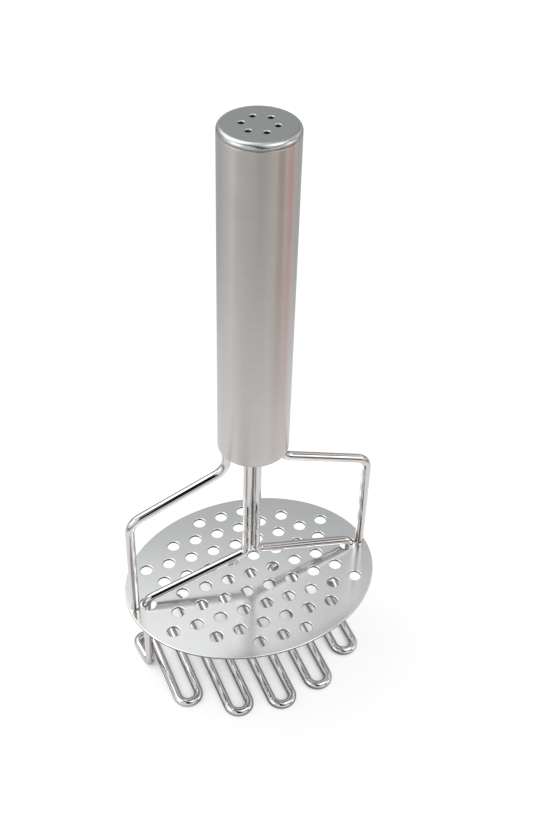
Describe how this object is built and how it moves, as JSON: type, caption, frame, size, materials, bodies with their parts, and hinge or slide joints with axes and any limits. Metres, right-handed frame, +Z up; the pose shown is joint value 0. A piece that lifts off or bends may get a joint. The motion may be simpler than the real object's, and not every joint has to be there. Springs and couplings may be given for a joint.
{
  "type": "potato masher",
  "caption": "Spring masher: pressing the tube handle pushes an oval perforated plate down onto a serpentine wire base that slides up inside the handle.",
  "frame": {"origin": "on the surface that the wire base stands on, on the handle's axis", "axes": "+X along the plane of the two wire frames, +Y to the back, across the frames, +Z up along the handle"},
  "size_m": [0.106, 0.085, 0.2461],
  "materials": {
    "brushed_tube": "fine brushing around the tube",
    "cap_steel": "satin top with a polished rounded edge",
    "polished_wire": "polished stainless wire",
    "plate_steel": "satin sheet",
    "inner_steel": "plain mill finish",
    "spring_steel": "drawn spring wire"
  },
  "bodies": {
    "masher": {"base_wire": "polished_wire", "arm_wire_left": "polished_wire", "arm_wire_right": "polished_wire", "rod_head": "inner_steel", "return_spring": "spring_steel"},
    "press": {"handle_tube": "brushed_tube", "end_cap": "cap_steel", "guide_disc": "inner_steel", "frame_wire_left": "polished_wire", "frame_wire_right": "polished_wire", "press_plate": "plate_steel"}
  },
  "joints": [
    {"name": "press_stroke", "type": "slide", "parent": "masher", "child": "press", "axis": [0, 0, -1], "range_m": [0, 0.0364], "stiffness_N_per_m": 400, "springref_m": -0.015, "deforming": ["return_spring"]}
  ]
}
